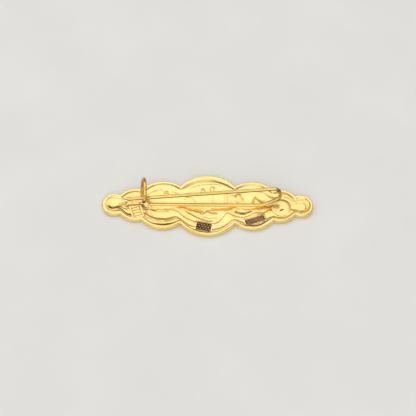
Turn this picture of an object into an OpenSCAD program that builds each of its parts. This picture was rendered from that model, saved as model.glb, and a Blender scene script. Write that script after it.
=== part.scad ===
// Pilot wings pin: a struck, gold plated bar brooch lying on its front, with the back and its
// pin fitting upwards. Millimetres. X runs along the bar, Z up from the front border.

/* [Plate outline] */
// radius of the middle lobe
lobe_r0 = 9.9; // [9.7:0.1:10.3]
// distance from the middle to the centre of the next lobe
lobe_c1 = 12.65; // [12.4:0.05:12.9]
// radius of that lobe
lobe_r1 = 7.85; // [7.6:0.05:8.1]
// distance from the middle to the centre of the small lobe
lobe_c2 = 20.5; // [20.3:0.05:20.8]
// radius of the small lobe
lobe_r2 = 5.3; // [5.1:0.05:5.5]
// distance from the middle to the centre of the end lobe
lobe_c3 = 26.5; // [26.3:0.05:26.8]
// radius of the end lobe
lobe_r3 = 3.5; // [3.3:0.05:3.7]

/* [Plate section] */
// height of the plate's edge
edge_h = 1.6; // [1.5:0.05:2]
// width of the flat land round the back
rim_w = 0.7; // [0.6:0.05:0.9]
// height of the ledge inside the rim
ledge_z = 1.1; // [1.05:0.05:1.2]
// height of the pocket's floor
floor_z = 0.7; // [0.65:0.05:0.8]
// depth of the field on the front, inside its border
front_depth = 0.25; // [0.15:0.05:0.3]
// width of the border on the front
border_w = 0.9; // [0.8:0.1:1.2]
// height of the front's relief above its field
relief_h = 0.2; // [0.1:0.05:0.2]

/* [Pocket in the back] */
// radius of the pocket in the middle lobe
pocket_r0 = 5.4; // [5.2:0.1:5.6]
// radius of the pocket in the lobe to the left of it
pocket_left_r = 4.9; // [4.6:0.1:5.1]
// radius of the pocket in the lobe to the right of it
pocket_right_r = 3.3; // [3.1:0.1:3.5]
// radius of the pocket in the small lobes
pocket_r2 = 3; // [2.9:0.05:3.1]
// radius of the pocket in the end lobes
pocket_r3 = 1.8; // [1.6:0.1:2]
// half the width of the channel that joins the pockets
channel_half = 1.9; // [1.8:0.05:2]

/* [Pin wire] */
// diameter of the pin's wire
wire_d = 1; // [0.9:0.05:1]
// how far the wire lies from the long axis
wire_y = 0.1; // [0:0.05:0.2]
// left end of the soldered leg, from the middle
leg_left = 16.9; // [16.6:0.1:17.1]
// distance from the middle to the corner where the wire leaves the plate
lead_x = 15.4; // [15.2:0.1:15.6]
// angle at which the wire leaves the plate
lead_angle = 24; // [23:1:25]
// radius of the curve where it leaves
lead_r = 6; // [5:0.5:6]
// distance from the middle to the centre of the spring bend
bend_x = 18.75; // [18.6:0.05:18.9]
// centreline radius of the spring bend
bend_r = 1.75; // [1.7:0.05:1.8]
// how far the wire's plane leans from the plate
wire_lean = 58; // [56:1:60]
// angle between the stem and the soldered leg
stem_angle = 4.93; // [4.8:0.01:5]
// length of the stem's straight round part
stem_len = 41.3; // [40.8:0.1:41.5]
// length of the sharpened point
point_len = 1.9; // [1.5:0.1:2]
// gap between the stem's ball and its seat
seat_gap = 0.1; // [0.08:0.01:0.12]

/* [Catch] */
// distance from the middle to the catch's foot
catch_x = 18.6; // [18.4:0.05:18.8]
// how far the catch's ring is centred from the long axis
catch_y = 2.27; // [2.2:0.01:2.35]
// centreline radius of the catch's ring
catch_r = 3.32; // [3.25:0.01:3.35]
// diameter of the catch's wire
catch_wire_d = 1; // [0.9:0.05:1]
// how far round the ring the wire runs, from its foot to its nose
catch_sweep = 282; // [276:1:284]
// lean of the ring towards the bend
catch_lean = 9; // [7:1:10]
// turn of the ring about the vertical
catch_turn = 5; // [3:1:6]

/* [Tags and marks] */
// width of the rectangular tag
tag_w = 3.6; // [3.4:0.1:3.8]
// length of the rectangular tag
tag_l = 4.6; // [4.4:0.1:4.8]
// height of the rectangular tag's top
tag_z = 1.3; // [1.25:0.05:1.4]
// turn of the rectangular tag
tag_turn = 18; // [15:1:20]
// radius of the round tag
disc_r = 2.75; // [2.6:0.05:2.75]
// thickness of the round tag
disc_t = 0.35; // [0.3:0.05:0.4]
// thickness of the dark filled marks
mark_t = 0.05; // [0.04:0.01:0.08]

/* [Hidden] */
$fn = 72;
eps = 0.01;
// the bent lengths are drawn this much thinner, and the straight ones this much longer, so that
// their ends never meet surface to surface
relief = 0.004;
lap = 0.02;
wire_r = wire_d / 2;
catch_wire_r = catch_wire_d / 2;
lobes = [[0, lobe_r0], [lobe_c1, lobe_r1], [lobe_c2, lobe_r2], [lobe_c3, lobe_r3]];
// the wire's plane: x along the bar, w up the slope
line_w = (bend_x + bend_r * sin(lead_angle) - lead_x) * tan(lead_angle);
bend_w = line_w + bend_r * cos(lead_angle);
lead_t = lead_r * tan(lead_angle / 2);
stem_x = bend_x - bend_r * sin(stem_angle);
stem_w = bend_w + bend_r * cos(stem_angle);
gold = [0.93, 0.76, 0.36];
wire_gold = [0.86, 0.72, 0.34];
solder_gold = [0.95, 0.8, 0.45];
mark_dark = [0.25, 0.12, 0.14];
bar_ys = [5.5, 3.7, 1.85, 0, -1.85, -3.7, -5.5];
bar_ends = [15.2, 20.6, 26.3, 28, 26.3, 20.6, 15.2];

// the lobes' outline taken in by d, from z0 to z1
module outline(d, z0, z1) {
    for (i = [0:len(lobes) - 1], side = i == 0 ? [1] : [-1, 1])
        translate([side * lobes[i][0], 0, z0]) cylinder(r = lobes[i][1] - d, h = z1 - z0);
}

// the inner pocket, open upwards
module pocket() {
    translate([0, 0, floor_z]) {
        cylinder(r = pocket_r0, h = 2);
        translate([-lobe_c1, 0, 0]) cylinder(r = pocket_left_r, h = 2);
        translate([lobe_c1, 0, 0]) cylinder(r = pocket_right_r, h = 2);
        for (side = [-1, 1]) {
            translate([side * lobe_c2, 0, 0]) cylinder(r = pocket_r2, h = 2);
            translate([side * lobe_c3, 0, 0]) cylinder(r = pocket_r3, h = 2);
        }
        translate([-lobe_c2, -channel_half, 0]) cube([2 * lobe_c2, 2 * channel_half, 2]);
        translate([-lobe_c3, -pocket_r3 * 0.7, 0]) cube([2 * lobe_c3, pocket_r3 * 1.4, 2]);
    }
}

// everything hollow in the back
module recess() {
    outline(rim_w, ledge_z, edge_h + 1);
    pocket();
}

module feather(x0, x1, y, w) {
    translate([x0, y - w / 2, 0]) cube([x1 - x0 - w / 2, w, relief_h + eps]);
    translate([x1 - w / 2, y, 0]) cylinder(r = w / 2, h = relief_h + eps);
}

// the raised wings and plain boss on the front
module front_relief() {
    translate([0, 0, front_depth - relief_h]) {
        for (side = [0, 180]) rotate([0, 0, side])
            for (i = [0:6]) feather(7.4, bar_ends[i], bar_ys[i], 1.45);
        difference() {
            cylinder(r = 8, h = relief_h + eps);
            translate([0, 0, -1]) cylinder(r = 7.1, h = 3);
        }
        cylinder(r = 5.2, h = relief_h + eps);
    }
}

module badge_shell() color(gold) {
    difference() {
        outline(0, 0, edge_h);
        recess();
        outline(border_w, -1, front_depth);
    }
    front_relief();
}

// children are drawn in the wire's plane
module wire_plane() {
    translate([0, wire_y, floor_z + wire_r]) rotate([wire_lean, 0, 0]) children();
}

module arc(r, start, sweep, wr) {
    rotate([0, 0, start]) rotate_extrude(angle = sweep) translate([r, 0]) circle(r = wr);
}

module rod(p, dir, length, r) {
    translate([p[0], p[1], 0]) rotate([0, 0, dir]) rotate([0, 90, 0]) cylinder(r = r, h = length);
}

module leg(r) {
    translate([-leg_left, wire_y, floor_z + wire_r]) rotate([0, 90, 0])
        cylinder(r = r, h = leg_left + lead_x - lead_t);
}

module fixed_wire() color(wire_gold) {
    wire_plane() {
        rod([-leg_left, 0], 0, leg_left + lead_x - lead_t + lap, wire_r);
        start = [lead_x + lead_t * cos(lead_angle), lead_t * sin(lead_angle)];
        end = [bend_x + bend_r * sin(lead_angle), line_w];
        dir = [cos(lead_angle), sin(lead_angle)];
        translate([lead_x - lead_t, lead_r, 0]) arc(lead_r, -90, lead_angle, wire_r - relief);
        rod(start - lap * dir, lead_angle, norm(end - start) + 2 * lap, wire_r);
        difference() {
            translate([bend_x, bend_w, 0]) arc(bend_r, lead_angle - 90, 90 - lead_angle, wire_r - relief);
            translate([bend_x + bend_r, bend_w, 0]) sphere(r = wire_r + seat_gap);
        }
    }
}

// the upper half of the bend, from a ball that turns in the lower half's seat, and the stem
module pin_stem() color(wire_gold) wire_plane() {
    translate([bend_x + bend_r, bend_w, 0]) sphere(r = wire_r);
    translate([bend_x, bend_w, 0]) arc(bend_r, 0, 90 + stem_angle, wire_r - relief);
    translate([stem_x, stem_w, 0]) rotate([0, 0, 180 + stem_angle]) rotate([0, 90, 0]) {
        translate([0, 0, -lap]) cylinder(r = wire_r, h = stem_len + lap);
        translate([0, 0, stem_len]) cylinder(r1 = wire_r, r2 = 0.06, h = point_len);
    }
}

module catch_ring(wr) {
    translate([-catch_x, catch_y, ledge_z + catch_wire_r]) rotate([0, catch_lean, catch_turn])
        translate([0, 0, catch_r]) rotate([90, 0, 90]) {
            arc(catch_r, -90, catch_sweep, wr);
            rotate([0, 0, catch_sweep - 90]) translate([catch_r, 0, 0]) sphere(r = wr + 0.06);
        }
}

module catch_hook() color(wire_gold) catch_ring(catch_wire_r);

module solder_catch() color(solder_gold) difference() {
    intersection() {
        translate([-catch_x, catch_y + 0.2, floor_z]) cylinder(r1 = 1.35, r2 = 0.7, h = 1.05);
        recess();
    }
    catch_ring(catch_wire_r);
    leg(wire_r);
}

// a bead of solder along the leg, from x0 to x1
module bead(x0, x1, r) {
    length = x1 - x0;
    difference() {
        intersection() {
            translate([x0, wire_y, floor_z + 0.25]) rotate([0, 90, 0]) {
                cylinder(r1 = 0.4, r2 = r, h = length * 0.3);
                translate([0, 0, length * 0.3]) cylinder(r = r, h = length * 0.4);
                translate([0, 0, length * 0.7]) cylinder(r1 = r, r2 = 0.4, h = length * 0.3);
            }
            translate([x0 - 1, -5, floor_z]) cube([length + 2, 10, 3]);
        }
        leg(wire_r);
        // the wire lies on the floor along a line, so the solder stops just short of it
        translate([x0 - 1, wire_y - 0.15, floor_z - 1]) cube([length + 2, 0.3, 1.1]);
    }
}

module solder_left() color(solder_gold) bead(-16.6, -8.8, 0.83);
module solder_middle() color(solder_gold) bead(-7.4, 7.4, 0.8);
module solder_right() color(solder_gold) bead(8.4, 13.6, 0.83);

module rect_tag() color(gold) intersection() {
    translate([-20.05, -2.2, 0]) rotate([0, 0, tag_turn]) difference() {
        translate([-tag_w / 2, -tag_l / 2, floor_z]) cube([tag_w, tag_l, tag_z - floor_z]);
        for (i = [0:3])
            translate([-tag_w / 2 + 0.7, -tag_l / 2 + 0.55 + i * (tag_l - 1.1) / 4 + 0.12, tag_z - 0.12])
                cube([tag_w - 1.4, (tag_l - 1.1) / 4 - 0.24, 1]);
    }
    recess();
}

module round_tag() color(gold) translate([lobe_c2 + 0.1, -0.2, floor_z]) difference() {
    cylinder(r = disc_r, h = disc_t);
    translate([0, 0, disc_t + 11.85]) sphere(r = 12);
    translate([-0.5, -0.3, disc_t - 0.2]) rotate([0, 0, 25]) cube([1, 0.3, 1]);
}

module mark(x, y, turn, length, width, bars) color(mark_dark)
    translate([x, y, ledge_z]) rotate([0, 0, turn]) {
        translate([-length / 2, -width / 2, 0]) cube([length, width, mark_t / 2]);
        for (i = [0:bars - 1])
            translate([-length / 2 + (i + 0.25) * length / bars, -width / 2 + 0.1, mark_t / 2 - 0.001])
                cube([length / bars / 2, width - 0.2, mark_t / 2 + 0.001]);
    }

module mark_middle() mark(-1.05, -7.05, -11, 4.3, 2.5, 9);
module mark_right() mark(13.4, -4.8, 19, 5.8, 1.9, 12);

badge_shell();
fixed_wire();
pin_stem();
catch_hook();
solder_catch();
solder_left();
solder_middle();
solder_right();
rect_tag();
round_tag();
mark_middle();
mark_right();
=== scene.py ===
"""The looks of the pilot wings pin: a gold plated brooch lying on its front, seen from its back."""

import math

import bmesh
import bpy
import numpy as np
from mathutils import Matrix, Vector, noise


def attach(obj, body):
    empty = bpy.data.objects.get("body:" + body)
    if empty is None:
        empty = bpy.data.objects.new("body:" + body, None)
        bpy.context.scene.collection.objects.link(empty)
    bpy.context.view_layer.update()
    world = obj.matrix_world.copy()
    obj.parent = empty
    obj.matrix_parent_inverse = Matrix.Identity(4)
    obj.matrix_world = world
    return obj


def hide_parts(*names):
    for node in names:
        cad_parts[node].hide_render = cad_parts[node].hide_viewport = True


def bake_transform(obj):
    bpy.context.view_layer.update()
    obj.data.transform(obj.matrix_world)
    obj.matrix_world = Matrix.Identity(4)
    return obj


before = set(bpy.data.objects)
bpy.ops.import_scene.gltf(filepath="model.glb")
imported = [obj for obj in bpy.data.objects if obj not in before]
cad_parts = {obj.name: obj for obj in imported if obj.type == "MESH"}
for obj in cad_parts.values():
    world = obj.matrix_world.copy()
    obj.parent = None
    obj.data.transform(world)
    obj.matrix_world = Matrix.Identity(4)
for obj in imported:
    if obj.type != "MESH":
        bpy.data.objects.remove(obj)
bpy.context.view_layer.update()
MM = 0.001

# ---------------------------------------------------------------- sizes, in millimetres

LOBES = ((0.0, 9.9), (12.65, 7.85), (20.5, 5.3), (26.5, 3.5))  # centre along the bar, radius
EDGE_H, LEDGE_Z, FLOOR_Z = 1.6, 1.1, 0.7
SUNK = 0.1  # how far solder and tags reach into the plate
WIRE_R, WIRE_Y = 0.5, 0.1
WIRE_LEAN = math.radians(58)
LEAD_X, LEAD_R, LEAD_ANGLE = 15.4, 6.0, math.radians(24)
BEND_X, BEND_R = 18.75, 1.75
STEM_ANGLE, STEM_LEN, POINT_LEN = math.radians(4.93), 41.3, 1.9
LEG_LEFT = 16.9
CATCH_X, CATCH_Y, CATCH_R = 18.6, 2.27, 3.32
CATCH_LEAN, CATCH_TURN, CATCH_SWEEP = math.radians(9), math.radians(5), math.radians(282)

# The back's three contours, as (place along the bar, value), for its near and its far side. The rim ends
# at an inset from the outline and slopes to the ledge; the ledge ends at the step, a second inset; the
# pocket's edge is measured from the middle line. "rim_dark" is how much painted shade darkens the rim's
# slope.
NEAR = {
    "rim": ((-26.5, 0.75), (-12.65, 0.75), (-7.6, 0.7), (-4, 0.65), (0, 0.6), (4, 0.7), (7.6, 0.7),
            (10, 0.6), (13, 0.6), (15, 0.7), (16.5, 1.0), (18, 0.85), (20.5, 0.6), (23, 0.65),
            (26.5, 0.75)),
    "rim_dark": ((-26.5, 0.1), (-19, 0.15), (-15.5, 0.5), (-12, 0.9), (-9, 0.65), (-5, 0.6), (-2, 0.6),
                 (0, 0.35), (2, 0.1), (8, 0.2), (10.5, 0.5), (13, 0.85), (16.5, 0.8), (18.5, 0.4),
                 (21, 0.4), (24, 0.3), (26.5, 0.1)),
    "rim_slope": ((-26.5, 0.9), (-24.5, 0.6), (-20.5, 0.4), (-16, 0.5), (-14, 0.85), (-11, 0.9),
                  (-8.5, 0.6), (-5, 0.5), (0, 0.5), (4, 0.35), (8, 0.35), (10, 0.5), (12, 0.8),
                  (16, 0.8), (18.5, 0.4), (26.5, 0.5)),
    "ledge_z": ((-26.5, 1.5), (-24.6, 1.3), (-23.4, 1.2), (-18, 1.2), (-14, 1.25), (-9, 1.25),
                (-7.6, 1.2), (8, 1.2), (12, 1.25), (26.5, 1.2)),
    "step": ((-26.5, 2.1), (-25.4, 2.15), (-24.6, 1.5), (-23.1, 1.3), (-21.8, 1.5), (-20.5, 1.7),
             (-18.5, 2.0), (-17.3, 2.3), (-14, 2.8), (-10, 2.85), (-8.7, 2.4), (-7.7, 1.6),
             (-6.8, 1.3), (-5.5, 1.5), (-3.5, 1.9), (0, 1.9), (3, 1.7), (7.6, 1.5), (12.65, 1.8),
             (16, 2.0), (18, 1.5), (20.5, 1.25), (23, 1.2), (26.5, 1.2)),
    "step_slope": ((-26.5, 0.5), (-24.5, 0.5), (-22, 0.75), (-19, 0.55), (-16, 0.75), (-12.6, 0.9),
                   (-9, 0.5), (-7.7, 0.3), (0, 0.3), (8, 0.25), (17, 0.3), (20.5, 0.45), (26.5, 0.2)),
    "step_z": ((-26.5, 1.03), (-25.2, 1.0), (-24, 0.8), (-16, 0.78), (-12, 0.76), (-9, 0.85),
               (-7.7, 0.95), (0, 0.97), (12, 1.0), (18, 0.9), (20.5, 0.8), (23, 0.9), (26.5, 1.0)),
    "pocket": ((-26.5, 0.85), (-25.3, 0.6), (-24.3, 0.9), (-22, 1.4), (-20, 1.6), (-17.5, 1.4),
               (-16, 1.5), (-11, 1.5), (-9.5, 1.8), (-8.5, 2.1), (-7.4, 3.3), (-6.1, 4.4), (-4.8, 5.1),
               (-3.3, 5.7), (-1, 6.2), (1.3, 6.4), (2.9, 5.8), (4.2, 4.4), (5.2, 2.85), (5.75, 2.5),
               (6.8, 3.15), (8.1, 3.75), (10, 4.05), (12, 3.4), (13, 2.6), (13.7, 2.3), (15.7, 2.5),
               (16.5, 2.0), (17.3, 1.3), (19, 1.8), (22, 1.5), (24, 1.25), (25.5, 1.8), (26.5, 1.85)),
    "pocket_slope": ((-26.5, 0.3), (-10, 0.35), (-8, 0.6), (0, 0.55), (8, 0.55), (13, 0.5), (24, 0.6),
                     (26.5, 0.45)),
}
FAR = {
    "rim": ((-26.5, 0.7), (-20.5, 0.75), (-12.65, 0.75), (-8, 0.7), (-4, 1.0), (0, 1.25), (3, 1.35),
            (5, 1.15), (7.6, 0.65), (12.65, 0.8), (20.5, 0.75), (26.5, 0.7)),
    "rim_dark": ((-26.5, 0), (-16.5, 0), (-14, 0.5), (-9, 0.6), (-7, 0.2), (-4, 0), (1, 0.1),
                 (3.5, 0.7), (6.5, 0.7), (8, 0.3), (11, 0.1), (17, 0.2), (20, 0.4), (23, 0.3),
                 (26.5, 0.1)),
    "rim_slope": ((-26.5, 0.65), (-24, 0.4), (-8, 0.4), (-5, 1.3), (0, 1.4), (2.5, 0.8), (6, 0.7),
                  (8, 0.4), (26.5, 0.4)),
    "ledge_z": ((-26.5, 1.25), (-25, 1.2), (-24, 1.13), (-7, 1.16), (-4, 1.27), (1, 1.27), (4, 1.2),
                (8, 1.15), (26.5, 1.2)),
    "step": ((-26.5, 1.0), (-20.5, 1.7), (-12.65, 1.9), (-7, 2.0), (-4, 3.0), (0, 3.3), (3.5, 2.4),
             (12.65, 1.9), (20.5, 1.6), (26.5, 1.2)),
    "step_slope": ((-26.5, 1.1), (-20.5, 1.5), (-17, 1.1), (-12.6, 1.9), (-8, 1.2), (-5, 1.8),
                   (0, 1.9), (5, 1.8), (8, 1.2), (12.6, 1.9), (18, 1.1), (20.5, 1.3), (23, 0.5),
                   (26.5, 0.3)),
    "step_z": ((-26.5, 1.06), (-24.8, 1.0), (-22.5, 0.88), (-12, 0.84), (19, 0.84), (23, 0.9),
               (26.5, 1.0)),
    "pocket": ((-26.5, 1.6), (-23, 1.8), (-20, 2.6), (-16.5, 3.2), (-12.6, 5.2), (-9.5, 4.6),
               (-8, 4.4), (-5.5, 6.2), (0, 7.2), (5.5, 6.2), (8, 4.4), (9.5, 4.8), (12.6, 5.4),
               (15.8, 4.6), (18, 3.4), (20.5, 2.7), (23, 1.5), (26.5, 1.5)),
    "pocket_slope": ((-26.5, 1.2), (-20, 1.5), (-15, 2.2), (-8, 2.4), (-4, 3.4), (4, 3.4), (8, 2.4),
                     (15, 2.4), (20, 1.4), (23, 0.4), (26.5, 0.4)),
}
INSETS = ("rim", "step")

# ---------------------------------------------------------------- small helpers


def smoothstep(t):
    """0 to 1 as t goes from 0 to 1, level at both ends."""
    t = np.clip(t, 0.0, 1.0)
    return t * t * (3 - 2 * t)


def smooth_curve(points, x, reach=0.5):
    """A polyline through points, read at x and rounded over reach."""
    px, py = np.array(points, float).T
    offsets = np.linspace(-1, 1, 9)
    weights = 1 - offsets**2 + 0.05
    total = sum(w * np.interp(x + o * reach, px, py) for o, w in zip(offsets, weights))
    return total / weights.sum()


def smooth_max(values, k):
    """The largest of several arrays, rounded where two of them cross."""
    top = np.max(values, axis=0)
    return top + k * np.log(np.sum(np.exp((values - top) / k), axis=0))


def make_object(name, verts, faces, body, node=None, material=None, attributes=None):
    """A mesh piece from points in millimetres, riding on a body and standing for a CAD node."""
    mesh = bpy.data.meshes.new(name)
    mesh.from_pydata([tuple(float(c) * MM for c in v) for v in verts], [], [tuple(f) for f in faces])
    mesh.polygons.foreach_set("use_smooth", [True] * len(mesh.polygons))
    for key, values in (attributes or {}).items():
        layer = mesh.attributes.new(key, "FLOAT", "POINT")
        layer.data.foreach_set("value", np.asarray(values, np.float32))
    obj = bpy.data.objects.new(name, mesh)
    bpy.context.collection.objects.link(obj)
    if material:
        mesh.materials.append(material)
    if body:
        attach(obj, body)
    if node:
        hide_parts(*([node] if isinstance(node, str) else node))
    return obj


def weld(obj, distance=1e-7):
    """Joins points closer than distance and turns the normals outwards."""
    bm = bmesh.new()
    bm.from_mesh(obj.data)
    bmesh.ops.remove_doubles(bm, verts=bm.verts, dist=distance)
    bmesh.ops.dissolve_degenerate(bm, edges=bm.edges, dist=1e-8)
    bmesh.ops.recalc_face_normals(bm, faces=bm.faces)
    bm.to_mesh(obj.data)
    bm.free()
    obj.data.polygons.foreach_set("use_smooth", [True] * len(obj.data.polygons))
    obj.data.update()


# ---------------------------------------------------------------- materials


def new_material(name):
    """A node material, with its nodes, its links and its shader."""
    mat = bpy.data.materials.new(name)
    mat.use_nodes = True
    nodes, links = mat.node_tree.nodes, mat.node_tree.links
    return mat, nodes, links, nodes["Principled BSDF"]


def ramp(nodes, stops):
    """A colour ramp through (position, colour) stops."""
    r = nodes.new("ShaderNodeValToRGB")
    r.color_ramp.elements[0].position, r.color_ramp.elements[0].color = stops[0]
    r.color_ramp.elements[1].position, r.color_ramp.elements[1].color = stops[-1]
    for pos, col in stops[1:-1]:
        r.color_ramp.elements.new(pos).color = col
    return r


def texture(nodes, links, coords, scale, detail, rough, stretch=None):
    """A noise texture in the object's own space, drawn out along its axes by stretch."""
    tex = nodes.new("ShaderNodeTexNoise")
    tex.inputs["Scale"].default_value = scale
    tex.inputs["Detail"].default_value = detail
    tex.inputs["Roughness"].default_value = rough
    if stretch:
        mapping = nodes.new("ShaderNodeMapping")
        mapping.inputs["Scale"].default_value = stretch
        links.new(coords.outputs["Object"], mapping.inputs["Vector"])
        links.new(mapping.outputs["Vector"], tex.inputs["Vector"])
    else:
        links.new(coords.outputs["Object"], tex.inputs["Vector"])
    return tex


def tinted(nodes, links, colour, attribute, tint):
    """The colour, turned to tint where the mesh's attribute says so."""
    mark = nodes.new("ShaderNodeAttribute")
    mark.attribute_name = attribute
    mix = nodes.new("ShaderNodeMix")
    mix.data_type = "RGBA"
    links.new(mark.outputs["Fac"], mix.inputs["Factor"])
    links.new(colour, mix.inputs["A"])
    mix.inputs["B"].default_value = (*tint, 1)
    return mix.outputs["Result"]


def gold(name, pale, deep, rough, peel, scratch, grain_mm=0.35, stretch=(1, 1, 1)):
    """Plated gold: mottled, with painted orange and near-black shade in its recesses and shaded places,
    with orange peel and fine scratches.
    """
    mat, nodes, links, shader = new_material(name)
    shader.inputs["Metallic"].default_value = 1.0
    coords = nodes.new("ShaderNodeTexCoord")
    cloud = texture(nodes, links, coords, 260, 5.0, 0.6)
    grain = texture(nodes, links, coords, 1000 / grain_mm, 4.0, 0.65)
    lines = texture(nodes, links, coords, 2600, 3.0, 0.7, stretch)
    tone = ramp(nodes, ((0.3, (*deep, 1)), (0.62, (*pale, 1))))
    links.new(cloud.outputs["Fac"], tone.inputs["Fac"])
    # painted shade: orange where bounce light and shade fall in hollows, near black where shadow and dark
    # reflections fall
    colour = tinted(nodes, links, tone.outputs["Color"], "recess", (0.95, 0.54, 0.09))
    colour = tinted(nodes, links, colour, "painted_shade_and_wear", (0.10, 0.055, 0.015))
    links.new(colour, shader.inputs["Base Color"])
    spread = nodes.new("ShaderNodeMapRange")
    spread.inputs["To Min"].default_value = rough * 0.65
    spread.inputs["To Max"].default_value = rough * 1.45
    links.new(grain.outputs["Fac"], spread.inputs["Value"])
    links.new(spread.outputs["Result"], shader.inputs["Roughness"])
    height = nodes.new("ShaderNodeBump")
    height.inputs["Strength"].default_value = peel
    height.inputs["Distance"].default_value = 0.05 * MM
    links.new(grain.outputs["Fac"], height.inputs["Height"])
    fine = nodes.new("ShaderNodeBump")
    fine.inputs["Strength"].default_value = scratch
    fine.inputs["Distance"].default_value = 0.02 * MM
    links.new(lines.outputs["Fac"], fine.inputs["Height"])
    links.new(height.outputs["Normal"], fine.inputs["Normal"])
    links.new(fine.outputs["Normal"], shader.inputs["Normal"])
    return mat


def dark_fill(name):
    """The dark filled stamp: plum brown, with rosy metal showing along its ridges."""
    mat, nodes, links, shader = new_material(name)
    coords = nodes.new("ShaderNodeTexCoord")
    fleck = texture(nodes, links, coords, 2600, 5.0, 0.75)
    tone = ramp(nodes, (
        (0.38, (0.022, 0.005, 0.003, 1)), (0.55, (0.045, 0.012, 0.008, 1)), (0.75, (0.16, 0.06, 0.04, 1)),
    ))
    links.new(fleck.outputs["Fac"], tone.inputs["Fac"])
    colour = tinted(nodes, links, tone.outputs["Color"], "painted_shade_and_wear", (0.55, 0.28, 0.16))
    links.new(colour, shader.inputs["Base Color"])
    shader.inputs["Specular IOR Level"].default_value = 0.1
    rough = nodes.new("ShaderNodeMapRange")
    rough.inputs["To Min"].default_value = 0.35
    rough.inputs["To Max"].default_value = 0.75
    links.new(fleck.outputs["Fac"], rough.inputs["Value"])
    links.new(rough.outputs["Result"], shader.inputs["Roughness"])
    bump = nodes.new("ShaderNodeBump")
    bump.inputs["Strength"].default_value = 0.5
    bump.inputs["Distance"].default_value = 0.03 * MM
    links.new(fleck.outputs["Fac"], bump.inputs["Height"])
    links.new(bump.outputs["Normal"], shader.inputs["Normal"])
    return mat


def floor_material():
    """The plain pale floor."""
    mat, nodes, links, shader = new_material("pale_floor")
    coords = nodes.new("ShaderNodeTexCoord")
    cloud = texture(nodes, links, coords, 40, 3.0, 0.5)
    tone = ramp(nodes, ((0.3, (0.83, 0.83, 0.82, 1)), (0.7, (0.87, 0.87, 0.86, 1))))
    links.new(cloud.outputs["Fac"], tone.inputs["Fac"])
    links.new(tone.outputs["Color"], shader.inputs["Base Color"])
    shader.inputs["Roughness"].default_value = 0.9
    return mat


PALE, DEEP = (1.0, 0.80, 0.35), (0.97, 0.71, 0.25)
plate_gold = gold("struck_gold", PALE, DEEP, 0.24, 0.35, 0.10)
tag_gold = gold("tag_gold", PALE, (0.97, 0.72, 0.26), 0.22, 0.40, 0.10)
disc_gold = gold("disc_gold", PALE, (0.97, 0.74, 0.30), 0.28, 0.40, 0.10)
wire_gold = gold("wire_gold", (0.90, 0.70, 0.27), (0.82, 0.58, 0.16), 0.13, 0.10, 0.20, 0.5, (0.05, 1, 1))
catch_gold = gold("catch_gold", (0.95, 0.68, 0.20), (0.88, 0.55, 0.12), 0.16, 0.10, 0.08)
solder_gold = gold("solder_gold", PALE, (0.96, 0.70, 0.25), 0.26, 0.5, 0.08, 0.25)

# ---------------------------------------------------------------- the struck plate


def outline_height(x):
    """Half the plate's width at x, with the notches between lobes a little rounded."""
    ax = np.abs(x)
    arcs = [np.sqrt(np.maximum(r * r - (ax - c) ** 2, 1e-6)) for c, r in LOBES]
    return smooth_max(np.array(arcs), 0.05)


def outline_points(step=0.08):
    """Points all round the plate's outline, about step apart."""
    end_c, end_r = LOBES[-1]
    x = np.arange(-end_c, end_c + step, step)
    top = np.stack([x, outline_height(x)], 1)
    a = np.arange(-math.pi / 2, math.pi / 2, step / end_r)
    cap = np.stack([end_c + end_r * np.cos(a), end_r * np.sin(a)], 1)
    return np.concatenate([top, top * [1, -1], cap, cap * [-1, 1]])


OUTLINE = outline_points()


def inset_height(x, inset):
    """How far from the middle line a curve lies that keeps inset away from the outline, at each x."""
    out = np.empty_like(x)
    inset = np.broadcast_to(inset, x.shape)
    for i, (xi, di) in enumerate(zip(x, inset)):
        ys = np.linspace(0, outline_height(np.array([xi]))[0], 500)
        near = OUTLINE[np.abs(OUTLINE[:, 0] - xi) < di + 0.3]
        gap = np.min(np.hypot(xi - near[:, 0][None], ys[:, None] - near[:, 1][None]), axis=1)
        good = np.nonzero(gap >= di)[0]
        if not len(good):
            out[i] = 0.3
        elif good[-1] == len(ys) - 1:
            out[i] = ys[-1]
        else:
            k = good[-1]
            out[i] = ys[k] + (ys[k + 1] - ys[k]) * (gap[k] - di) / max(gap[k] - gap[k + 1], 1e-9)
    weights = np.array([1, 2, 3, 4, 3, 2, 1])
    return np.convolve(np.pad(out, 3, mode="edge"), weights / weights.sum(), mode="valid")


def stroke(x, y, points, width, depth):
    """A groove along a polyline: how deep it is at x, y."""
    best = np.full(x.shape, 1e9)
    for (ax, ay), (bx, by) in zip(points, points[1:]):
        dx, dy = bx - ax, by - ay
        t = np.clip(((x - ax) * dx + (y - ay) * dy) / (dx**2 + dy**2), 0, 1)
        best = np.minimum(best, np.hypot(x - ax - t * dx, y - ay - t * dy))
    return depth * np.exp(-((best / width) ** 2))
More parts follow.
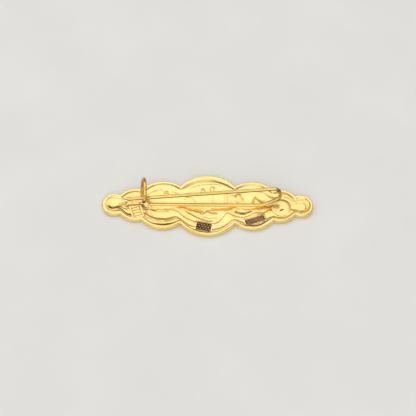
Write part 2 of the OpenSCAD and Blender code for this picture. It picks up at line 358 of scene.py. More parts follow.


# grooves in the floor: points, half width, depth, and how much painted orange shade and painted dark
# shade they carry
FLOOR_STROKES = (
    (((-1.9, 4.8), (-1.6, 5.35), (-1.2, 5.45), (-0.7, 4.8)), 0.17, 0.1, 0.75, 0.25),
    (((0.8, 5.0), (0.85, 6.0), (1.3, 6.3), (1.75, 6.0), (1.8, 5.0)), 0.16, 0.1, 0.75, 0.3),
    (((-12.4, 4.1), (-11.8, 4.5), (-11.3, 4.2)), 0.22, 0.1, 0.85, 0.1),
    (((8.0, 3.1), (8.4, 3.7), (9.2, 3.65), (9.7, 2.9), (10.1, 2.0)), 0.22, 0.12, 0.7, 0.3),
    (((12.8, 1.1), (13.3, 2.5), (13.65, 3.0), (14.2, 2.4), (14.9, 1.7), (16.0, 1.2)),
     0.25, 0.14, 0.9, 0.35),
    (((1.5, 1.0), (1.5, 4.0)), 0.14, 0.07, 0.45, 0.15),
    (((4.75, 1.0), (4.8, 4.0)), 0.14, 0.07, 0.4, 0.15),
    (((5.6, 1.0), (5.65, 4.0)), 0.17, 0.09, 0.55, 0.2),
    (((-6.6, 2.1), (-6.2, 2.8), (-4.6, 2.85), (-3.5, 1.4)), 0.15, 0.08, 0.5, 0.2),
    (((-7.4, -0.15), (-6.4, -0.5), (-5.3, -0.95), (-4.0, -1.35), (-2.9, -1.5)), 0.3, 0.14, 1.0, 0.0),
    (((-3.4, -1.45), (-2.3, -1.6), (-1.4, -1.6)), 0.42, 0.15, 1.0, 0.0),
    (((-2.1, -1.8), (-1.9, -2.4), (-1.4, -2.55), (-1.0, -2.1)), 0.17, 0.12, 0.9, 0.05),
    (((-1.0, -2.1), (-0.4, -1.65), (0.1, -1.5), (0.7, -1.9), (1.4, -2.2), (2.6, -2.4)),
     0.24, 0.14, 1.0, 0.05),
    (((0.6, -1.6), (1.1, -1.2), (1.9, -0.85), (3.8, -0.85), (5.7, -0.8), (6.9, -0.45)),
     0.32, 0.14, 0.85, 0.0),
    (((-6.3, -1.3), (-5.6, -1.9)), 0.3, 0.08, 0.55, 0.05),
    (((-5.6, -2.1), (-3.9, -3.2), (-2.0, -4.25), (-0.2, -4.85), (1.3, -5.0)), 0.2, 0.1, 0.1, 0.6),
    (((-1.4, -3.5), (0.3, -3.9), (2.6, -3.8), (2.4, -4.3)), 0.14, 0.08, 0.5, 0.1),
    (((-3.2, -2.9), (-1.6, -3.5)), 0.12, 0.06, 0.3, 0.05),
    (((-16.2, -1.2), (-14.0, -1.7), (-11.2, -1.6)), 0.2, 0.1, 0.2, 0.45),
    (((7.9, -1.7), (9.0, -2.2)), 0.28, 0.16, 0.0, 0.7),
    (((9.4, -2.3), (10.5, -2.35)), 0.3, 0.2, 0.0, 1.0),
    (((10.9, -2.15), (12.3, -1.55)), 0.26, 0.14, 0.1, 0.7),
    (((11.3, -0.75), (12.7, -0.65), (14.4, -0.5), (15.6, -0.35)), 0.3, 0.1, 0.6, 0.0),
    (((17.0, -0.3), (17.1, -0.9), (16.4, -1.8)), 0.26, 0.06, 0.5, 0.0),
    (((-28.3, -0.65), (-27.8, -1.2), (-27.3, -1.4), (-26.6, -1.15), (-25.9, -0.8), (-25.2, -0.55)),
     0.4, 0.05, 0.0, 1.0),
    (((-24.6, -0.2), (-24.0, 0.3), (-23.1, 0.4)), 0.16, 0.1, 0.7, 0.1),
    (((-24.4, -0.4), (-23.4, -1.0), (-22.6, -1.6)), 0.14, 0.09, 0.6, 0.1),
    (((24.2, -1.3), (25.3, -1.65)), 0.18, 0.08, 0.1, 0.7),
    (((26.1, -1.75), (27.3, -1.6)), 0.18, 0.08, 0.1, 0.6),
)
FEATHER_YS = (5.5, 3.7, 1.85, 0.0, -1.85, -3.7, -5.5)
FEATHER_ENDS = (15.2, 20.6, 26.3, 28.0, 26.3, 20.6, 15.2)


def floor_relief(x, y):
    """The faint reversed relief that striking the front leaves in the pocket's floor."""
    out = np.zeros_like(x)
    for points, width, depth, _, _ in FLOOR_STROKES:
        out -= stroke(x, y, points, width, depth)
    return out + 0.03 * np.sin(x * 0.9 + 1.3) * np.sin(y * 1.1 + 0.4) + back_sway(x, y)


def floor_tint(x, y):
    """How much painted orange shade and painted dark shade the floor carries along its grooves."""
    warm, dark = np.zeros_like(x), np.zeros_like(x)
    for points, width, _, orange, painted_shade_and_wear in FLOOR_STROKES:
        warm = np.maximum(warm, stroke(x, y, points, width * 1.25, orange))
        dark = np.maximum(dark, stroke(x, y, points, width * 0.9, painted_shade_and_wear))
    return warm, dark


def back_sway(x, y):
    """Slow unevenness of the back's flat lands."""
    return (0.014 * np.sin(x * 0.7 + y * 0.5) + 0.012 * np.sin(x * 1.9 - y * 1.3 + 0.7)
            + 0.010 * np.sin(x * 3.1 + y * 2.3 + 2.0 * np.sin(y * 0.9)))


def front_relief(x, y):
    """Feathers either side of a plain rayed boss, 0 to 0.2 proud of the front's field."""
    r, ax = np.hypot(x, y), np.abs(x)
    out = np.zeros_like(x)
    for fy, end in zip(FEATHER_YS, FEATHER_ENDS):
        half = 0.78
        v = (y - fy) / half
        tip = end - half
        past = np.maximum(ax - tip, 0) / half
        d = np.sqrt(v * v + past * past)
        body = 0.2 * np.sqrt(np.clip(1 - d**2.6, 0, 1))
        quill = 0.07 * np.exp(-((v / 0.13) ** 2)) * (ax < tip)
        barbs = 0.012 * np.sin(ax * 9.0 + np.abs(v) * 6.0)
        out = np.maximum(out, np.where(d < 1, body - quill + barbs * (d < 0.92), 0))
    turn = np.arctan2(y, x)
    rope = (r > 6.9) & (r < 8.1)
    bulge = np.sqrt(np.clip(1 - ((r - 7.5) / 0.6) ** 2, 0, 1))
    out = np.where(r < 8.1, 0.0, out)
    out = np.where(rope, 0.19 * bulge * (0.88 + 0.12 * np.sin(turn * 56 + r * 3.2)), out)
    dome = 0.2 * np.clip(1 - (r / 5.4) ** 6, 0, 1)
    flute = 0.05 * np.clip((r - 1.6) / 1.2, 0, 1) * (0.5 - 0.5 * np.cos(turn * 16))
    return np.clip(np.where(r < 5.4, dome - flute, out), 0, 0.2)


def rays(step=0.17):
    """One ray from the middle line to the outline for each column of the plate's mesh.

    Returns the rays' starts and directions, how far each looks to the far side (0 to 1), and what each
    contour's table says there, with insets turned into distances along the ray.
    """
    end_c, end_r = LOBES[-1]
    xs = np.linspace(-end_c, end_c, int(round(2 * end_c / step)) + 1)
    half = outline_height(xs)
    border = inset_height(xs, 0.9)
    angles = np.linspace(-math.pi / 2, math.pi / 2, int(math.pi * end_r / step) + 1)[1:-1]
    start, direction, keys = [], [], {k: [] for k in ("outline", "border", *NEAR)}
    for side, tables in ((1, FAR), (-1, NEAR)):  # the far half left to right, then the near half back
        turn = slice(None, None, side)
        start += [(x, 0.0) for x in xs[turn]]
        direction += [(0.0, float(side))] * len(xs)
        keys["outline"] += list(half[turn])
        keys["border"] += list(border[turn])
        for k, table in tables.items():
            values = smooth_curve(table, xs, 0.4)
            if k in INSETS:
                values = inset_height(xs, values)
            keys[k] += list(values[turn])
        for a in angles[::-1]:
            start.append((side * end_c, 0.0))
            direction.append((side * math.cos(a), side * math.sin(a)))
            far = 0.5 + 0.5 * side * math.sin(a)
            keys["outline"].append(end_r)
            keys["border"].append(end_r - 0.9)
            for k in NEAR:
                value = sum(w * float(smooth_curve(t[k], np.array([side * end_c]), 0.4)[0])
                            for w, t in ((far, FAR), (1 - far, NEAR)))
                keys[k].append(end_r - value if k in INSETS else value)
    direction = np.array(direction)
    keys = {k: np.array(v) for k, v in keys.items()}
    keys["step"] = np.minimum(keys["step"], keys["rim"] - keys["rim_slope"] - 0.2)
    keys["step_slope"] = np.minimum(keys["step_slope"], keys["step"] * 0.4)
    keys["pocket"] = np.minimum(keys["pocket"], keys["step"] - keys["step_slope"] - 0.2)
    keys["pocket_slope"] = np.minimum(keys["pocket_slope"], keys["pocket"] * 0.6)
    return np.array(start), direction, 0.5 + 0.5 * direction[:, 1], keys


# the two stamped flats: centre, turn, length and width
MARKS = ((-1.05, -7.05, math.radians(-11), 4.3, 2.5), (13.4, -4.8, math.radians(19), 5.8, 1.9))


def mark_pad(x, y):
    """1 inside the two flats that the marks are stamped on, falling to 0 round them."""
    out = np.zeros_like(x)
    for mx, my, turn, length, width in MARKS:
        u = (x - mx) * math.cos(turn) + (y - my) * math.sin(turn)
        v = -(x - mx) * math.sin(turn) + (y - my) * math.cos(turn)
        edge = np.maximum(np.abs(u) - length / 2, np.abs(v) - width / 2)
        out = np.maximum(out, 1 - smoothstep((edge - 0.05) / 0.45))
    return out


def build_plate():
    """One closed mesh, as rows of points: up the front, round the edge and down the back's levels."""
    start, direction, far, keys = rays()
    near = 1 - far
    facing = smoothstep((near - 0.5) / 0.4)  # 1 only where the ray runs towards the near side
    outline, border, rim, step, pocket = (keys[k] for k in ("outline", "border", "rim", "step", "pocket"))
    one = np.ones_like(far)
    rows = []  # each: distance along each ray, height, kind, how much painted orange shade, how much painted dark shade, share of the relief

    def add(length, z, kind="flat", warm=0.0, dark=0.0, share=1.0):
        rows.append((np.asarray(length), z * one, kind, warm * one, dark * one, share))

    for t in np.linspace(0.0, 1.0, 31)[1:-1]:  # front field, from the middle line out
        add((border - 0.22) * t, 0.25, "front")
    # painted orange shade on the field's side of the step down to the front's border
    for inset, z in ((0.22, 0.25), (0.12, 0.24), (0.05, 0.17), (0.0, 0.06), (-0.06, 0.01)):
        add(border - inset, z, warm=0.5 * (z > 0.1))
    add(border + (outline - border) * 0.45, 0.0)  # the flat border that the brooch lies on
    for inset, z in ((0.16, 0.0), (0.06, 0.035), (0.0, 0.13)):
        add(outline - inset, z)
    for z in (0.45, 0.8):
        add(outline, z)
    edge_r = np.minimum(0.28 + 0.22 * near, outline - rim - 0.14)  # rounded over more on the near side
    edge_drop = edge_r * (1 + 0.25 * near)
    # painted orange shade round the edge, strongest low on its upright side
    for a in np.linspace(0, math.pi / 2, 9):
        add(outline - edge_r * (1 - math.cos(a)), EDGE_H - edge_drop * (1 - math.sin(a)),
            warm=0.12 * math.cos(a))
    for t in (0.35, 0.7):
        add(outline - edge_r + (rim + 0.08 - outline + edge_r) * t, EDGE_H, "sway")
    add(rim + 0.08, EDGE_H)
    add(rim + 0.03, EDGE_H - 0.01)
    wall = 0.26 * far * keys["rim_dark"]  # the far side's rim has a small upright wall
    slope, ledge_z = keys["rim_slope"], keys["ledge_z"]
    for t in np.linspace(0, 1, 11):
        ease = t + 0.5 * (smoothstep(t) - t)  # straighter than an S, so that more of it is seen
        fall = wall * smoothstep(t / 0.12) + (EDGE_H - ledge_z - wall) * ease
        # painted dark shade down the rim's slope, in a soft band where the slope faces the near side and
        # over most of it elsewhere, with painted orange shade mostly on the near side
        slope_shade = facing * math.sin(math.pi * t) ** 1.2 + (1 - facing) * (0 < t < 0.75)
        add(rim - slope * t, EDGE_H - 0.01 - fall,
            warm=(0.4 * near + 0.3 * far * (t < 0.3)) * (0 < t < 1), dark=keys["rim_dark"] * slope_shade)
    inner = rim - slope
    # the left end's lobe is shallow, and stays high on its near side up to a short steep step
    ledge_end = LEDGE_Z + (0.05 + 0.25 * near) * smoothstep((-24.6 - start[:, 0]) / 1.6)
    floor_z = FLOOR_Z + 0.3 * smoothstep((-24.2 - start[:, 0]) / 1.5)
    for t in np.linspace(0, 1, 7)[1:]:
        lump = 0.03 * near * math.sin(math.pi * t) ** 2
        add(inner + (step - inner) * t, ledge_z + (ledge_end - ledge_z) * smoothstep(t) + lump, "ledge",
            share=float(smoothstep(t)))
    ledge_z = ledge_end
    slope, low = keys["step_slope"], keys["step_z"]
    drop = np.clip((ledge_z - low) / 0.35, 0, 1)
    left_lobe_shade = smoothstep((-18 - start[:, 0]) / 2)  # painted shade is darkest in the two lobes on the left
    # painted orange shade down the step's slope, and painted dark shade where it drops and faces the near
    # side
    for t in np.linspace(0, 1, 10)[1:]:
        swell, ease = math.sin(math.pi * t), t + (0.5 + 0.5 * far) * (smoothstep(t) - t)
        add(step - slope * t, ledge_z + (low - ledge_z) * ease, "ledge",
            warm=swell**0.6 * (0.35 + 0.65 * drop) * near,
            dark=(0.2 + 0.8 * left_lobe_shade) * swell**0.6 * drop * facing)
    inner = step - slope
    for t in np.linspace(0, 1, 8)[1:]:
        add(inner + (pocket - inner) * t, low + 0.04 * near * math.sin(math.pi * t) ** 2, "ledge")
    slope = keys["pocket_slope"]
    seen = np.where(far > 0.5, smoothstep((start[:, 0] - 20) / 3), 1.0)  # painted orange shade down the pocket's slope, left off where a long soft slope shows no line
    for t in np.linspace(0, 1, 12)[1:]:
        add(pocket - slope * t, low + (floor_z - low) * smoothstep(t), "ledge",
            warm=math.sin(math.pi * t) ** 0.7 * (0.95 * near + 0.5 * far) * seen)
    for t in np.linspace(1.0, 0.0, 36)[1:-1]:
        add((pocket - slope) * t, floor_z, "floor")
    add(pocket * 0, floor_z, "floor")
    rows.insert(0, (pocket * 0, 0.25 * one, "front", 0 * one, 0 * one, 1.0))

    verts, warms, darks = [], [], []
    for length, z, kind, warm, dark, share in rows:  # add the relief and the painted shade of each kind of row
        p = start + direction * length[:, None]
        x, y = p[:, 0], p[:, 1]
        if kind == "front":
            raised = front_relief(x, y)
            # painted orange shade on the front's field round the raised relief
            z, warm = z - raised, 0.45 * smoothstep(1 - raised / 0.1)
        if kind in ("floor", "ledge"):
            pad = mark_pad(x, y)
            more_warm, more_dark = floor_tint(x, y)
            z = (z + share * floor_relief(x, y)) * (1 - pad) + LEDGE_Z * pad
            warm = np.maximum(warm, more_warm) * (1 - pad)
            dark = np.maximum(dark, more_dark) * (1 - pad)
        if kind == "sway":
            z = z - np.abs(back_sway(x, y))
        verts.append(np.stack([x, y, z], 1))
        warms.append(warm)
        darks.append(dark)
    columns = len(start)
    faces = []
    for a in range(len(rows) - 1):
        for i in range(columns):
            j = (i + 1) % columns
            faces.append((a * columns + i, a * columns + j, (a + 1) * columns + j, (a + 1) * columns + i))
    tints = {"recess": np.concatenate(warms), "painted_shade_and_wear": np.concatenate(darks)}
    weld(make_object("struck_plate", np.concatenate(verts), faces, "plate", "badge_shell", plate_gold,
                     tints), 2e-7)


build_plate()

# ---------------------------------------------------------------- wire


def wire_point(x, w):
    """A point of the wire's own plane, x along the bar and w up its slope."""
    return Vector((x, WIRE_Y + w * math.cos(WIRE_LEAN), FLOOR_Z + WIRE_R + w * math.sin(WIRE_LEAN)))


def tube(name, path, radii, body, node, material, sides=28, offsets=None, shade=None):
    """A round wire along path, with its radius at each point, closed at both ends.

    shade(i, out) gives how much painted orange shade and painted dark shade point i of the path carries
    on the side that faces out.
    """
    path = [Vector(p) for p in path]
    verts, faces, tints = [], [], []
    side = None
    for i, p in enumerate(path):
        ahead = (path[min(i + 1, len(path) - 1)] - path[max(i - 1, 0)]).normalized()
        if side is None:
            side = ahead.orthogonal().normalized()
        side = (side - ahead * side.dot(ahead)).normalized()
        up = ahead.cross(side)
        centre = p + (offsets[i] if offsets else Vector((0, 0, 0)))
        for k in range(sides):
            a = 2 * math.pi * k / sides
            out = side * math.cos(a) + up * math.sin(a)
            verts.append(centre + out * radii[i])
            tints.append(shade(i, out) if shade else (0.0, 0.0))
    for i in range(len(path) - 1):
        for k in range(sides):
            m = (k + 1) % sides
            faces.append((i * sides + k, i * sides + m, (i + 1) * sides + m, (i + 1) * sides + k))
    faces.append(tuple(range(sides))[::-1])
    faces.append(tuple(range((len(path) - 1) * sides, len(path) * sides)))
    warm, dark = np.array(tints).T
    return make_object(name, verts, faces, body, node, material, {"recess": warm, "painted_shade_and_wear": dark})


def round_end(path, radii, steps=7):
    """Adds a rounded nose to the end of a path."""
    a, b, r = Vector(path[-2]), Vector(path[-1]), radii[-1]
    ahead = (b - a).normalized()
    for k in range(1, steps + 1):
        t = math.pi / 2 * k / steps
        path.append(b + ahead * r * math.sin(t))
        radii.append(max(r * math.cos(t), 0.01))


def pin_wire():
    """The leg, the lead, the bend and the stem in one length, with a round bend at the joint."""
    lead_t = LEAD_R * math.tan(LEAD_ANGLE / 2)
    line_w = (BEND_X + BEND_R * math.sin(LEAD_ANGLE) - LEAD_X) * math.tan(LEAD_ANGLE)
    bend_w = line_w + BEND_R * math.cos(LEAD_ANGLE)
    nose = [(WIRE_R * (1 - math.cos(a)), WIRE_R * math.sin(a)) for a in np.linspace(0.1, math.pi / 2, 7)]
    flat = [(-LEG_LEFT + ahead, 0.0) for ahead, _ in nose]
    flat += [(x, 0.0) for x in np.arange(-LEG_LEFT + WIRE_R + 0.2, LEAD_X - lead_t, 0.3)]
    for a in np.linspace(0, LEAD_ANGLE, 14):
        flat.append((LEAD_X - lead_t + LEAD_R * math.sin(a), LEAD_R * (1 - math.cos(a))))
    corner = (BEND_X + BEND_R * math.sin(LEAD_ANGLE), line_w)
    last = flat[-1]
    for t in np.linspace(0, 1, 12)[1:-1]:
        flat.append((last[0] + (corner[0] - last[0]) * t, last[1] + (corner[1] - last[1]) * t))
    bend_from = len(flat)
    turns = np.linspace(LEAD_ANGLE - math.pi / 2, math.pi / 2 + STEM_ANGLE, 60)
    for a in turns:
        flat.append((BEND_X + BEND_R * math.cos(a), bend_w + BEND_R * math.sin(a)))
    end = flat[-1]
    along = (-math.cos(STEM_ANGLE), -math.sin(STEM_ANGLE))
    for s in np.arange(0.25, STEM_LEN, 0.3):
        flat.append((end[0] + along[0] * s, end[1] + along[1] * s))
    path = [wire_point(*p) for p in flat]
    radii = [r for _, r in nose] + [WIRE_R] * (len(path) - len(nose))
    offsets = [Vector((0, 0, 0))] * len(path)
    tip_up = Vector((0, 0.85, 0.53))  # the point is ground off its lower side
    for t in np.linspace(0, 1, 16):
        s = STEM_LEN + POINT_LEN * t
        path.append(wire_point(end[0] + along[0] * s, end[1] + along[1] * s))
        r = max(WIRE_R * (1 - t) ** 0.9, 0.045)
        radii.append(r)
        offsets.append(tip_up * (WIRE_R - r) * 0.72)

    def shade(i, out):
        """Painted shade: dark on the stem's underside, the top of the bend and the lead near it; orange
        on the leg's underside, round the bend's side and faintly all along the stem.
        """
        low = float(smoothstep((out.dot(Vector((0, -0.8, -0.6))) - 0.3) / 0.4))
        if i < bend_from:
            return 0.35 * low, 0.3 * float(smoothstep((path[i].x - 16.0) / 2.5))
        if i >= bend_from + len(turns):
            near_bend = float(smoothstep((path[i].x - 16.5) / 2.0))
            return 0.15, max(0.82 * low, 0.35 * near_bend * low**0.3)
        a = math.degrees(turns[i - bend_from])
        warm = 0.75 * (1 - float(smoothstep((a - 25) / 35)))
        return warm, max(0.3 * warm, math.exp(-(((a - 52) / 25) ** 2)) * (0.85 + 0.15 * low), 0.8 * low)

    obj = tube("pin_wire", path, radii, None, None, wire_gold, offsets=offsets, shade=shade)
    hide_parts("fixed_wire", "pin_stem")
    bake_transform(obj)


pin_wire()


def catch():
    """The open ring: foot on the ledge, over the stem, down to a rounded nose."""
    foot = Vector((-CATCH_X, CATCH_Y, LEDGE_Z + WIRE_R))
    path = []
    turns = np.linspace(-math.pi / 2, -math.pi / 2 + CATCH_SWEEP, 110)
    for a in turns:
        y, z = CATCH_R * math.cos(a), CATCH_R * (1 + math.sin(a))
        x = z * math.sin(CATCH_LEAN)
        z = z * math.cos(CATCH_LEAN)
        path.append(foot + Vector((x * math.cos(CATCH_TURN) - y * math.sin(CATCH_TURN),
                                   x * math.sin(CATCH_TURN) + y * math.cos(CATCH_TURN), z)))
    radii = [WIRE_R] * len(path)
    round_end(path, radii)

    def shade(i, out):
        """Painted shade: darker on the ring's two flat sides and towards its nose, orange and darker on
        its far half.
        """
        a = math.degrees(turns[min(i, len(turns) - 1)])
        side = float(smoothstep((abs(out.x) - 0.64) / 0.3))
        nose = float(smoothstep((a - 160) / 22))
        far_half = float(smoothstep((100 - a) / 40))
        return 0.5 * far_half, max(0.75 * side, 0.9 * nose, 0.38 * far_half)

    tube("catch_ring", path, radii, "plate", "catch_hook", catch_gold, shade=shade)


catch()

# ---------------------------------------------------------------- solder


def mound(name, node, spine, half_width, height, seed):
    """Solder that has flowed round a joint: a closed low mound along spine, concave on its flanks."""
    base = FLOOR_Z - SUNK
    spine = [Vector((p[0], p[1], 0)) for p in spine]
    length = sum((b - a).length for a, b in zip(spine, spine[1:]))
    rings, around = 14, 72

    def along(t):
        left = t * length
        for a, b in zip(spine, spine[1:]):
            if left <= (b - a).length:
                return a.lerp(b, left / (b - a).length)
            left -= (b - a).length
        return spine[-1]

    edge = []
    axis = (spine[-1] - spine[0]).normalized()
    for k in range(around):
        a = 2 * math.pi * k / around
        centre = along(0.5 + 0.5 * math.cos(a))
        wide = half_width * (1 + 0.16 * noise.noise(Vector((math.cos(a) * 1.7, math.sin(a) * 1.7, seed))))
        out = axis * math.cos(a) + Vector((-axis.y, axis.x, 0)) * math.sin(a)
        edge.append((centre, centre + out * wide))
    verts, faces = [], []
    for i in range(rings + 1):
        t = i / rings
        for k in range(around):
            centre, rim = edge[k]
            p = centre.lerp(rim, t)
            top = height * (1 - t**1.5) ** 1.6
            verts.append((p.x, p.y, base + SUNK + top - (0.03 if i == rings else 0)))
    for k in range(around):
        verts.append((*edge[k][1].xy, base))
    for i in range(rings + 1):
        for k in range(around):
            m = (k + 1) % around
            faces.append((i * around + k, (i + 1) * around + k, (i + 1) * around + m, i * around + m))
    last = (rings + 1) * around
    faces.append(tuple(range(last, last + around))[::-1])
    weld(make_object(name, verts, faces, "plate", node, solder_gold), 5e-7)


mound("catch_solder", "solder_catch", [(-16.7, 0.2), (-17.5, 1.2), (-18.4, 2.3)], 1.15, 0.65, 1.0)
mound("leg_solder_left", "solder_left", [(-16.3, WIRE_Y), (-8.7, WIRE_Y)], 0.85, 0.8, 2.0)
mound("leg_solder_middle", "solder_middle", [(-7.5, WIRE_Y), (7.3, WIRE_Y)], 0.75, 0.8, 3.0)
mound("leg_solder_right", "solder_right", [(8.4, WIRE_Y), (13.4, WIRE_Y)], 0.85, 0.8, 4.0)

# ---------------------------------------------------------------- tags and marks


def grid_plate(name, node, centre, turn, length, width, height_at, base, material, step, corner=0.3,
               tint_at=None):
    """A small plate seen from above, its top given by height_at(u, v), closed down to base."""
    tints = []
    nu, nv = int(length / step) + 1, int(width / step) + 1
    us, vs = np.linspace(-1, 1, nu), np.linspace(-1, 1, nv)
    verts, faces = [], []
    for v in vs:
        for u in us:
            px, py = u * length / 2, v * width / 2
            cx, cy = max(abs(px) - (length / 2 - corner), 0), max(abs(py) - (width / 2 - corner), 0)
            if cx and cy:  # pull the corners in to a radius
                far = max(cx, cy)
                k = far / math.hypot(cx, cy)
                px = math.copysign(length / 2 - corner + cx * k, px)
                py = math.copysign(width / 2 - corner + cy * k, py)
            x = centre[0] + px * math.cos(turn) - py * math.sin(turn)
            y = centre[1] + px * math.sin(turn) + py * math.cos(turn)
            verts.append((x, y, height_at(px, py)))
            tints.append(tint_at(px, py) if tint_at else (0.0, 0.0))
    for j in range(nv - 1):
        for i in range(nu - 1):
            a = j * nu + i
            faces.append((a, a + 1, a + nu + 1, a + nu))
    loop = (list(range(nu)) + [j * nu + nu - 1 for j in range(1, nv)]
            + [(nv - 1) * nu + i for i in range(nu - 2, -1, -1)] + [j * nu for j in range(nv - 2, 0, -1)])
    first = len(verts)
    for i in loop:
        verts.append((verts[i][0], verts[i][1], base))
        # the sides: painted orange and dark shade on gold, a little worn metal showing on the stamps
        tints.append((0.5, 0.2))
    for k, i in enumerate(loop):
        m = (k + 1) % len(loop)
        faces.append((i, first + k, first + m, loop[m]))
    faces.append(tuple(range(first, first + len(loop)))[::-1])
    warm, dark = np.array(tints).T
    weld(make_object(name, verts, faces, "plate", node, material, {"recess": warm, "painted_shade_and_wear": dark}))


def ladder_groove(u, v):
    """How deep into a groove of the rectangular tag a point is: four rungs and the frame's inner edge."""
    rung = max(math.exp(-(((v - k * 0.92 + 1.38) / 0.15) ** 2)) for k in range(4))
    rung *= 1 - float(smoothstep((abs(u) - 0.85) / 0.25))
    frame_line = math.exp(-(((abs(u) - 1.12) / 0.1) ** 2)) * (1 - float(smoothstep((abs(v) - 1.6) / 0.3)))
    return max(rung, 0.7 * frame_line)


def ladder(u, v):
    """The rectangular tag's top: a frame with a worn edge round four plain rungs."""
    edge = min(1.8 - abs(u), 2.3 - abs(v))
    worn = 0.1 * (1 - min(edge / 0.16, 1)) ** 2
    return 1.29 - worn - 0.17 * ladder_groove(u, v) - 0.02 * math.cos(u * 1.3)


def ladder_tint(u, v):
    """Painted orange shade and a little painted dark shade in the grooves."""
    deep = ladder_groove(u, v)
    return 0.85 * deep, 0.3 * deep**2


grid_plate("ladder_tag", "rect_tag", (-20.05, -2.2), math.radians(18), 3.6, 4.6, ladder, 0.62,
           tag_gold, 0.06, tint_at=ladder_tint)


def round_plate():
    """The round tag: a dished disc with a wall along its far right edge, two pips and a short slot."""
    centre, radius, rings, around = (20.85, -0.45), 2.9, 64, 144
    verts, faces, warms, darks = [], [], [], []
    slot_turn, crescent_turn = 0.42, math.radians(48)
    for i in range(rings + 1):
        t = i / rings
        for k in range(around):
            a = 2 * math.pi * k / around
            x, y = t * radius * math.cos(a), t * radius * math.sin(a)
            r = math.hypot(x - 0.15, y - 0.1)
            facing = max(0.0, math.cos(a - crescent_turn)) ** 0.7
            wall = float(smoothstep((r - 2.0) / 0.6)) * facing
            crescent = math.exp(-(((r - 2.38) / 0.5) ** 2)) * facing
            z = FLOOR_Z + 0.28 + 0.17 * wall - (0.16 - 0.06 * facing) * max(0.0, (t - 0.94) / 0.06) ** 2
            u = (x - 0.15) * math.cos(slot_turn) + (y + 0.75) * math.sin(slot_turn)
            v = -(x - 0.15) * math.sin(slot_turn) + (y + 0.75) * math.cos(slot_turn)
            cut = math.exp(-((v / 0.16) ** 2)) * math.exp(-((u / 0.6) ** 4))
            pip = math.exp(-((math.hypot(x + 0.75, y - 0.25) / 0.3) ** 2))
            pip = max(pip, 0.8 * math.exp(-((math.hypot(x + 1.6, y - 0.15) / 0.3) ** 2)))
            bump = math.exp(-((math.hypot(x + 0.3, y - 0.55) / 0.35) ** 2))
            z += 0.04 * bump - 0.12 * cut - 0.03 * pip
            # painted shade: orange and dark on the wall's crescent and along the near left edge, orange
            # in the pips, dark in the slot
            left = float(smoothstep((t - 0.91) / 0.05)) * max(0.0, math.cos(a - math.radians(215))) ** 0.5
            verts.append((centre[0] + x, centre[1] + y, z))
            warms.append(min(1.0, 0.6 * crescent + 0.6 * pip + 0.6 * left))
            darks.append(min(1.0, 0.55 * crescent + 1.3 * cut + 0.5 * left))
    # the disc's side carries painted orange and dark shade
    for k in range(around):
        verts.append((*verts[rings * around + k][:2], FLOOR_Z - SUNK))
        warms.append(0.5)
        darks.append(0.3)
    for i in range(rings + 1):
        for k in range(around):
            m = (k + 1) % around
            faces.append((i * around + k, (i + 1) * around + k, (i + 1) * around + m, i * around + m))
    last = (rings + 1) * around
    faces.append(tuple(range(last, last + around))[::-1])
    weld(make_object("dished_tag", verts, faces, "plate", "round_tag", disc_gold,
                     {"recess": warms, "painted_shade_and_wear": darks}))


round_plate()


def hatch(pitch, lean, show):
    """Plain crossed hatching, standing for a stamp that can't be read."""

    def ridge(u, v):
        return max(math.cos(2 * math.pi * (u + side * lean * v) / pitch) for side in (-1, 1))

    def height(u, v):
        return LEDGE_Z + 0.02 + 0.03 * ridge(u, v)

    def worn(u, v):
        """How much metal shows on the ridges, more in some places than in others."""
        patch = 0.75 + 0.25 * math.sin(u * 1.3 + v * 1.9 + 0.6)
        return 0.0, show * patch * float(smoothstep((ridge(u, v) - 0.45) / 0.4))

    return height, worn


dark = dark_fill("dark_fill")
for (mx, my, turn, length, width), name, node, pitch, show in (
    (MARKS[0], "stamp_middle", "mark_middle", 0.86, 0.4),
    (MARKS[1], "stamp_right", "mark_right", 0.8, 1.0),
):
    top, worn = hatch(pitch, 0.6, show)
    grid_plate(name, node, (mx, my), turn, length, width, top, LEDGE_Z - 0.04, dark, 0.06,
               corner=0.4, tint_at=worn)

# ---------------------------------------------------------------- floor, light and camera

bpy.ops.mesh.primitive_plane_add(size=3.0, location=(0, 0, -0.00002))
ground = bpy.context.object
ground.name = "ground"
ground.data.materials.append(floor_material())

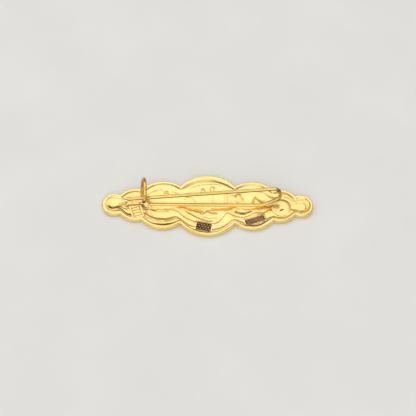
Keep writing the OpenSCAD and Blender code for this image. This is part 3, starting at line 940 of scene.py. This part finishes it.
world = bpy.data.worlds.new("studio")
bpy.context.scene.world = world
world.use_nodes = True
sky_nodes, sky_links = world.node_tree.nodes, world.node_tree.links
sky_coords = sky_nodes.new("ShaderNodeTexCoord")
sky_height = sky_nodes.new("ShaderNodeVectorMath")  # brighter overhead and towards the near side
sky_height.operation = "DOT_PRODUCT"
sky_height.inputs[1].default_value = (-0.12, -0.42, 0.7)
sky_links.new(sky_coords.outputs["Generated"], sky_height.inputs[0])
sky_ramp = ramp(sky_nodes, (
    (0.0, (0.40, 0.37, 0.31, 1)), (0.38, (0.50, 0.48, 0.45, 1)), (0.65, (0.70, 0.70, 0.69, 1)),
))
sky_links.new(sky_height.outputs["Value"], sky_ramp.inputs["Fac"])
sky_links.new(sky_ramp.outputs["Color"], sky_nodes["Background"].inputs["Color"])


def softbox(name, azimuth, elevation, distance, size, watts):
    """An area light aimed at the brooch. Azimuth 0 is behind the camera."""
    az, el = math.radians(azimuth), math.radians(elevation)
    at = Vector((math.sin(az) * math.cos(el), -math.cos(az) * math.cos(el), math.sin(el))) * distance
    data = bpy.data.lights.new(name, "AREA")
    data.shape, data.size, data.size_y = "RECTANGLE", *size
    data.energy = watts
    lamp = bpy.data.objects.new(name, data)
    lamp.location = at
    lamp.rotation_euler = (-at).to_track_quat("-Z", "Y").to_euler()
    bpy.context.collection.objects.link(lamp)


softbox("back_top", 180, 62, 0.6, (0.85, 0.44), 0.85)
softbox("front_top", 0, 40, 0.7, (0.85, 0.5), 0.92)
softbox("left", -90, 42, 0.7, (0.4, 0.5), 0.40)
softbox("right", 90, 40, 0.8, (0.25, 0.4), 0.12)

CAMERA_ELEVATION = math.radians(58)
LENS, SENSOR, VIEW_W = 85.0, 36.0, 117.7
distance = VIEW_W * LENS / SENSOR * MM
view_dir = Vector((0, math.cos(CAMERA_ELEVATION), -math.sin(CAMERA_ELEVATION)))
target = Vector((0.11, -1.2, EDGE_H)) * MM
cam_data = bpy.data.cameras.new("camera")
cam_data.lens, cam_data.sensor_width = LENS, SENSOR
cam_data.clip_start = 0.01
camera = bpy.data.objects.new("camera", cam_data)
camera.location = target - view_dir * distance
camera.rotation_euler = (math.radians(90) - CAMERA_ELEVATION, 0, 0)
camera.rotation_euler.rotate_axis("Z", math.radians(0.5))
bpy.context.collection.objects.link(camera)
bpy.context.scene.camera = camera
bpy.context.scene.view_settings.view_transform = "Standard"

bpy.context.view_layer.update()
